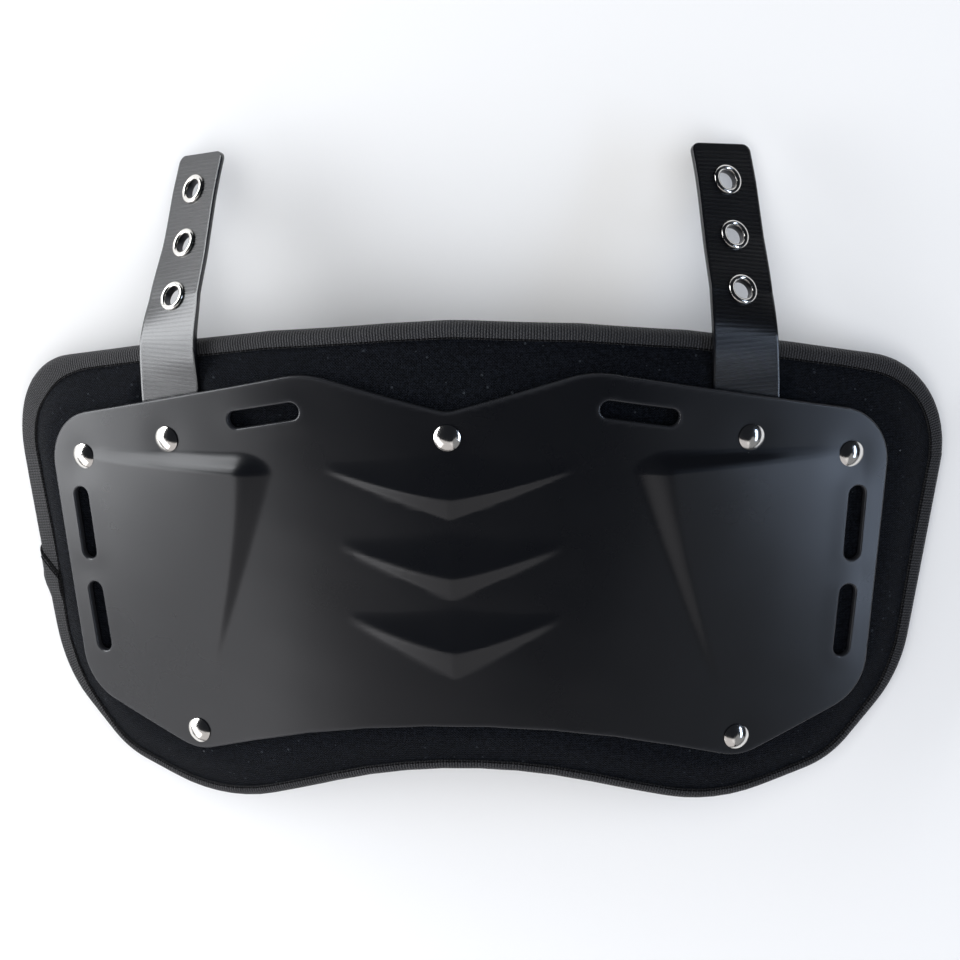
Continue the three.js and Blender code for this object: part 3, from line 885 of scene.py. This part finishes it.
def tapeProfile(width, lift, bulge):
    # inset and height round the tape's section, outer face first, then back along its inner face
    f = tapeForm
    seam = width - stitchForm["inset"]
    face = [(width, -f["lipDrop"]), (width - f["lip"], 0), (seam + f["grooveHalf"], 0), (seam, -f["groove"]),
            (seam - f["grooveHalf"], 0)]
    front, back = f["half"] + lift, f["half"] + lift * f["backLift"]
    outer = [(inset, front + drop) for inset, drop in face]
    for a in np.radians(np.linspace(90, -90, f["bendSteps"])):
        reach = f["reach"] + lift + bulge * min(1, 1 + math.sin(a))
        outer.append((f["bend"] - reach * math.cos(a), (front if a > 0 else back) * math.sin(a)))
    outer += [(inset, -back - drop) for inset, drop in reversed(face)]
    inner = []
    for inset, h in reversed(outer):
        if inset >= f["bend"]:
            inner.append((inset, h - math.copysign(f["thick"], h)))
        else:
            shrink = 1 - f["thick"] / math.hypot(inset - f["bend"], h)
            inner.append((f["bend"] + (inset - f["bend"]) * shrink, h * shrink))
    return np.array(outer + inner)


def loftRings(name, rings, closeAlong):
    # rings of points joined into a skin; each ring is one place along the tape
    count, around = len(rings), len(rings[0])
    faces = []
    for i in range(count if closeAlong else count - 1):
        j = (i + 1) % count
        for k in range(around):
            m = (k + 1) % around
            faces.append((i * around + k, i * around + m, j * around + m, j * around + k))
    if not closeAlong:
        faces += [tuple(range(around)), tuple((count - 1) * around + k for k in reversed(range(around)))]
    mesh = bpy.data.meshes.new(name)
    mesh.from_pydata([tuple(p) for ring in rings for p in ring], [], faces)
    piece = bpy.data.objects.new(name, mesh)
    bpy.context.scene.collection.objects.link(piece)
    return piece


def tapeRing(place, lift=0.0, bulge=0.0, skew=0.0):
    # one ring of points and its flat pattern in metres
    width = float(tapeWidth(*loopAt([place])[0][0]))
    inset, h = tapeProfile(width, lift, bulge).T
    at = place + skew * (inset / width - 1)
    point, inside = loopAt(at)
    over = np.concatenate([[0], np.cumsum(np.hypot(np.diff(inset), np.diff(h)))])
    flat = point + inside * inset[:, None]
    return onArch(flat[:, 0], flat[:, 1], h + tapeForm["middle"]), np.stack([at, over], -1) * mm


def buildBinding():
    f = lapForm
    around = [tapeRing(place) for place in np.arange(len(tapeLoop)) * tapeLength / len(tapeLoop)]
    # the end of the tape laps over its start on the left side, cut on the slant, and bulges out below the cut
    over = []
    for share in np.linspace(0, 1, int(f["length"] / tapeForm["step"]) + 1):
        skew = f["skew"] * share
        bulge = f["bulge"] * math.exp(-((share - f["bulgeAt"]) / f["bulgeRun"]) ** 2)
        over.append(tapeRing(lapTop + f["length"] * (1 - share) + skew, lapLift(share), bulge, skew))
    pieces = []
    for name, nodes, made in (("edgeTape", ["binding"], around), ("edgeTapeLap", [], over)):
        piece = loftRings(name, [ring for ring, _ in made], name == "edgeTape")
        setPattern(piece, np.concatenate([pattern for _, pattern in made]))
        recalcNormals(piece, 1e-7)
        smoothShade(piece, 50)
        finishPiece(piece, nodes, finishes["binding"])
        pieces.append(piece)
    return pieces


tapes = buildBinding()
print("binding:", [len(t.data.polygons) for t in tapes], "faces")


def stitchShape():
    # one stitch, its length along Y, and its faces
    f = stitchForm
    deselect()
    bpy.ops.mesh.primitive_uv_sphere_add(segments=6, ring_count=5, radius=f["radius"] * mm)
    model = bpy.context.object
    shape = getPoints(model)
    ends = np.sign(shape[:, 2]) * (f["length"] / 2 - f["radius"]) * mm
    shape = np.stack([shape[:, 0], shape[:, 2] + ends, shape[:, 1] * f["flat"]], -1)
    faces = [tuple(p.vertices) for p in model.data.polygons]
    bpy.data.objects.remove(model)
    return shape, faces


def seamRows():
    # both seams along the tape; they rise with the lap
    f = stitchForm
    count = int(tapeLength / f["pitch"])
    places = np.arange(count) * tapeLength / count
    point, inward = loopAt(places)
    seam = point + inward * (tapeWidth(*point.T) - f["inset"])[:, None]
    past = (places - lapTop) % tapeLength
    share = (lapForm["length"] - past) / (lapForm["length"] - lapForm["skew"] * f["skewShare"])
    lift = np.where((share > 0) & (share < 1), np.maximum(lapLift(share), 0), 0)
    level = tapeForm["half"] - f["sink"] * tapeForm["groove"]
    middle = tapeForm["middle"]
    return [(seam, middle + level + lift, True), (seam, middle - level - tapeForm["backLift"] * lift, True)]


def cutRow(offset, lift):
    # a row of stitches beside the lap's cut end
    f = stitchForm
    width = float(tapeWidth(*lapForm["at"]))
    inset = np.arange(f["cutInset"], width - f["inset"], f["length"] * f["cutPitch"])
    point, inward = loopAt(lapTop + lapForm["skew"] * inset / width + offset)
    bent = np.clip((tapeForm["bend"] - inset) / (tapeForm["reach"] + lift), 0, 1)
    h = tapeForm["middle"] + (tapeForm["half"] + lift) * np.sqrt(1 - bent ** 2)
    return point + inward * inset[:, None], h, False


def buildStitches():
    # one stitch is modelled and copied along the tape, front and back
    shape, faces = stitchShape()
    rows = seamRows()
    rows.append(cutRow(stitchForm["cutBelow"], 0))
    rows.append(cutRow(stitchForm["cutAbove"], lapLift(stitchForm["cutShare"])))
    points, cells = [], []
    for flat, h, closed in rows:
        spots, above = onArch(flat[:, 0], flat[:, 1], h), onArch(flat[:, 0], flat[:, 1], h + 1)
        if closed:
            heading = np.roll(spots, -1, axis=0) - np.roll(spots, 1, axis=0)
        else:
            heading = np.gradient(spots, axis=0)
        for spot, up, ahead in zip(spots, above - spots, heading):
            out = Vector(up).normalized()
            across = Vector(ahead).cross(out).normalized()
            turn = Matrix((across, out.cross(across), out)).transposed()
            base = len(points)
            points += [Vector(spot) + turn @ Vector(p) for p in shape]
            cells += [tuple(base + k for k in face) for face in faces]
    mesh = bpy.data.meshes.new("edgeStitches")
    mesh.from_pydata([tuple(p) for p in points], [], cells)
    stitches = bpy.data.objects.new("edgeStitches", mesh)
    bpy.context.scene.collection.objects.link(stitches)
    recalcNormals(stitches, 1e-8)
    smoothShade(stitches, 60)
    finishPiece(stitches, [], finishes["thread"])
    return stitches


stitches = buildStitches()
print("stitches:", len(stitches.data.polygons), "faces")

# the ribbed straps
strapForm = {
    "width": 28.0, "thick": 2.0, "corner": 3.5, "flatTip": 9.0, "edgeRound": 0.4,
    "seat": (122.0, -16.0, 15.5), "level": -4.6,  # s, y of the covered end, y where it leaves the pad
    "stations": [(117.2, 34, -27.7, 24), (115.7, 51, -37, 35), (112.7, 71, -50, 40),
                 (109.9, 92, -60.6, 41), (107.3, 106, -67.4, 42)],  # x, y, z, turn
    "untwist": 6.0, "untwistFrom": 35, "untwistRun": 40,  # the right strap lies flatter
    "lineSteps": 80, "slopeStep": 0.4, "columns": 28,
    "ribPitch": 1.75, "ribHigh": 0.025, "ribRows": 6,
    "plainEdge": 1.4, "plainFrom": 0.4, "plainTip": 3, "plainTipFrom": 0.5,
}
eyeletForm = {
    "stations": [3, 2, 1], "hole": 4.9, "holeSides": 32, "punch": 20,
    "bore": 4.0, "boreWall": 0.05, "barrel": 4.6, "flange": 6.35, "seat": 0.1,
    "crown": 1.15, "crownFoot": 0.15, "crownEdge": 0.2, "crownPower": 0.8, "crownSteps": 10,
    "backFlange": 5.9, "roll": 0.35, "flareFrom": 0.5, "flareDeep": 1.0, "steps": 40,
}


def strapLine():
    f = strapForm
    s, endY, topY = f["seat"]
    x, z, angle = archAt(np.array([s, s]))
    h = f["level"]
    seat = np.stack([x + h * np.sin(angle), np.array([endY, topY]), z + h * np.cos(angle)], -1)
    knots = np.vstack([seat, [p[:3] for p in f["stations"]]])
    ends = np.vstack([2 * knots[0] - knots[1], knots, 2 * knots[-1] - knots[-2]])
    points = []
    for p0, p1, p2, p3 in zip(ends, ends[1:], ends[2:], ends[3:]):
        d0, d1, d2 = (math.sqrt(math.dist(a, b)) for a, b in ((p0, p1), (p1, p2), (p2, p3)))
        t1 = ((p1 - p0) / d0 - (p2 - p0) / (d0 + d1) + (p2 - p1) / d1) * d1
        t2 = ((p2 - p1) / d1 - (p3 - p1) / (d1 + d2) + (p3 - p2) / d2) * d1
        square, cube = 3 * p2 - 3 * p1 - 2 * t1 - t2, 2 * p1 - 2 * p2 + t1 + t2
        for w in np.linspace(0, 1, f["lineSteps"], endpoint=False):
            points.append(p1 + t1 * w + square * w ** 2 + cube * w ** 3)
    points.append(knots[-1])
    points = np.array(points)
    places = np.concatenate([[0], np.cumsum(np.linalg.norm(np.diff(points, axis=0), axis=1))])
    turns = [(topY, math.degrees(angle[0]))] + [(p[1], p[3]) for p in f["stations"]]
    return points, places, np.array(turns)


strapPoints, strapPlaces, strapTurns = strapLine()
strapLength = strapPlaces[-1]


def strapAt(distance, side):
    # centre, across, along and outward directions at a distance along a strap, drawn on the right
    f = strapForm

    def pick(d):
        return np.stack([np.interp(d, strapPlaces, strapPoints[:, i]) for i in range(3)], -1)

    distance = np.asarray(distance, float)
    centre = pick(distance)
    step = f["slopeStep"]
    along = pick(np.minimum(distance + step, strapLength)) - pick(np.maximum(distance - step, 0))
    along /= np.linalg.norm(along, axis=-1, keepdims=True)
    turn = np.interp(centre[..., 1], strapTurns[:, 0], strapTurns[:, 1])
    if side > 0:
        turn = turn - f["untwist"] * ease((centre[..., 1] - f["untwistFrom"]) / f["untwistRun"])
    turn = np.radians(turn)
    across = np.stack([np.cos(turn), np.zeros_like(turn), -np.sin(turn)], -1)
    out = np.cross(across, along)
    out /= np.linalg.norm(out, axis=-1, keepdims=True)
    return centre, np.cross(along, out), along, out


def onStrap(x, distance, z, side):
    bent = np.minimum(distance, strapLength - strapForm["flatTip"])
    centre, across, along, out = strapAt(bent, side)
    p = centre + across * x[:, None] + along * (distance - bent)[:, None] + out * z[:, None]
    return toFrame(side * p[:, 0], p[:, 1], p[:, 2])


def eyeletPlace(station):
    height = strapForm["stations"][station][1]
    return float(np.interp(height, strapPoints[:, 1], strapPlaces))


def buildStrap(name, side):
    f = strapForm
    rows = int(strapLength / f["ribPitch"] * f["ribRows"])
    deselect()
    bpy.ops.mesh.primitive_grid_add(x_subdivisions=f["columns"], y_subdivisions=rows, size=2)
    strap = bpy.context.object
    strap.name = strap.data.name = name
    flat = getPoints(strap)
    distance = (flat[:, 1] + 1) / 2 * strapLength
    toTip = np.clip((distance - (strapLength - f["corner"])) / f["corner"], 0, 1)
    half = f["width"] / 2 - f["corner"] * (1 - np.sqrt(1 - toTip ** 2))
    x = flat[:, 0] * half
    plain = ease((f["width"] / 2 - np.abs(x)) / f["plainEdge"] - f["plainFrom"])
    plain = plain * ease((strapLength - distance) / f["plainTip"] - f["plainTipFrom"])
    wave = 0.5 + 0.5 * np.cos(distance / f["ribPitch"] * 2 * math.pi)
    setPoints(strap, np.stack([x, distance, f["thick"] / 2 - f["ribHigh"] * wave ** 2 * plain], -1) * mm)
    # valley carries the painted shade in the rib grooves
    setAttribute(strap, "valley", wave ** 2 * plain)
    wall = strap.modifiers.new("wall", "SOLIDIFY")
    wall.thickness, wall.offset = f["thick"] * mm, -1
    bevel = strap.modifiers.new("edge", "BEVEL")
    bevel.width, bevel.segments, bevel.limit_method = f["edgeRound"] * mm, 2, "ANGLE"
    bevel.angle_limit = math.radians(50)
    activate(strap)
    for modifier in ("wall", "edge"):
        bpy.ops.object.modifier_apply(modifier=modifier)
    e = eyeletForm
    for station in e["stations"]:
        deselect()
        bpy.ops.mesh.primitive_cylinder_add(
            vertices=e["holeSides"], radius=e["hole"] * mm, depth=e["punch"] * mm,
            location=(0, eyeletPlace(station) * mm, 0))
        punch = bpy.context.object
        hole = strap.modifiers.new("hole", "BOOLEAN")
        hole.operation, hole.object, hole.solver = "DIFFERENCE", punch, "EXACT"
        activate(strap)
        bpy.ops.object.modifier_apply(modifier="hole")
        bpy.data.objects.remove(punch)
    flat = getPoints(strap) / mm
    setPattern(strap, flat[:, :2] * mm)
    setPoints(strap, onStrap(flat[:, 0], flat[:, 1], flat[:, 2], side))
    recalcNormals(strap, 1e-7)
    smoothShade(strap, 40)
    finishPiece(strap, [name], finishes[name])
    return strap


straps = [buildStrap("strap_right", 1), buildStrap("strap_left", -1)]
print("straps:", [len(s.data.polygons) for s in straps], "faces")


def turnedPiece(name, profile, steps):
    # a closed half section of radius and height, in mm, spun about Z
    deselect()
    bpy.ops.mesh.primitive_circle_add(vertices=len(profile), radius=mm)
    piece = bpy.context.object
    piece.name = piece.data.name = name
    setPoints(piece, [(r * mm, 0, z * mm) for r, z in profile])
    bpy.ops.object.mode_set(mode="EDIT")
    bpy.ops.mesh.select_all(action="SELECT")
    bpy.ops.mesh.spin(steps=steps, angle=2 * math.pi, center=(0, 0, 0), axis=(0, 0, 1))
    bpy.ops.object.mode_set(mode="OBJECT")
    recalcNormals(piece, 1e-7)
    return piece


def copyTo(model, name, matrix):
    piece = bpy.data.objects.new(name, model.data.copy())
    bpy.context.scene.collection.objects.link(piece)
    piece.data.transform(matrix)
    smoothShade(piece, 40)
    return piece


def eyeletProfile():
    f = eyeletForm
    face = strapForm["thick"] / 2 + f["seat"]
    middle, spread = (f["flange"] + f["bore"]) / 2, (f["flange"] - f["bore"]) / 2
    crown = []
    for i in range(f["crownSteps"] + 1):
        a = math.pi * i / f["crownSteps"]
        height = face + f["crownFoot"] + f["crown"] * math.sin(a) ** f["crownPower"]
        crown.append((middle + spread * math.cos(a), height))
    roll = [(f["backFlange"] - f["roll"] * (1 - math.cos(a)), -face - f["roll"] + f["roll"] * math.sin(a))
            for a in np.radians([-90, -45, 0, 45, 90])]
    barrel = [(f["barrel"], -face), (f["barrel"], face), (f["flange"] - f["crownEdge"], face)]
    flare = [(f["bore"], -face - f["flareFrom"]), (f["bore"] + f["roll"], -face - f["flareDeep"])]
    return barrel + crown + flare + roll


def strapMatrix(station, side):
    centre, across, along, out = (np.squeeze(v) for v in strapAt(np.array([eyeletPlace(station)]), side))
    flip = np.array([side, 1, 1])
    origin = toFrame(*(centre * flip))
    zero = toFrame(0, 0, 0)
    alongF, outF = (Vector(toFrame(*(v * flip)) - zero).normalized() for v in (along, out))
    acrossF = alongF.cross(outF)
    return Matrix.Translation(Vector(origin)) @ Matrix((acrossF, alongF, outF)).transposed().to_4x4()


def buildEyelets():
    model = turnedPiece("eyeletModel", eyeletProfile(), eyeletForm["steps"])
    shape = getPoints(model) / mm
    wall = np.hypot(shape[:, 0], shape[:, 1]) < eyeletForm["bore"] + eyeletForm["boreWall"]
    setAttribute(model, "inside", wall)  # the bore is rougher and painted dark, as painted shade inside the hole
    for sideName, side in (("right", 1), ("left", -1)):
        for number, station in enumerate(eyeletForm["stations"], 1):
            name = f"eyelet_{sideName}_{number}"
            piece = copyTo(model, name + "_ring", strapMatrix(station, side))
            finishPiece(piece, [name], finishes["metal"])
    bpy.data.objects.remove(model)


buildEyelets()
print("eyelets ready")


def rivetProfile():
    f = rivetForm
    low, corner = f["seat"], f["tailEdge"]
    cap = f["dome"] - f["brim"]
    radius = (f["head"] ** 2 + cap ** 2) / (2 * cap)
    reach = math.asin(f["head"] / radius)
    dome = [(radius * math.sin(a), low + f["dome"] - radius * (1 - math.cos(a)))
            for a in np.linspace(reach, 0, f["domeSteps"])]
    edge = [(f["head"] - f["headEdge"], low), (f["head"], low + f["headEdge"])]
    top, bottom = f["tailTop"], f["tailTop"] - f["tailThick"]
    tail = [(0, bottom), (f["tail"] - corner, bottom), (f["tail"], bottom + corner),
            (f["tail"], top - corner), (f["tail"] - corner, top)]
    return tail + [(f["shank"], top), (f["shank"], low)] + edge + dome


def buildRivets():
    model = turnedPiece("rivetModel", rivetProfile(), rivetForm["steps"])
    for spot, s, y in rivetForm["spots"]:
        sides = [("", 1)] if s == 0 else [("_right", 1), ("_left", -1)]
        for sideName, side in sides:
            name = f"rivet_{spot}{sideName}"
            piece = copyTo(model, name + "_cap", seatFrame(side * s, y, 0))
            finishPiece(piece, [name], finishes["metal"])
    bpy.data.objects.remove(model)


buildRivets()
print("rivets ready")
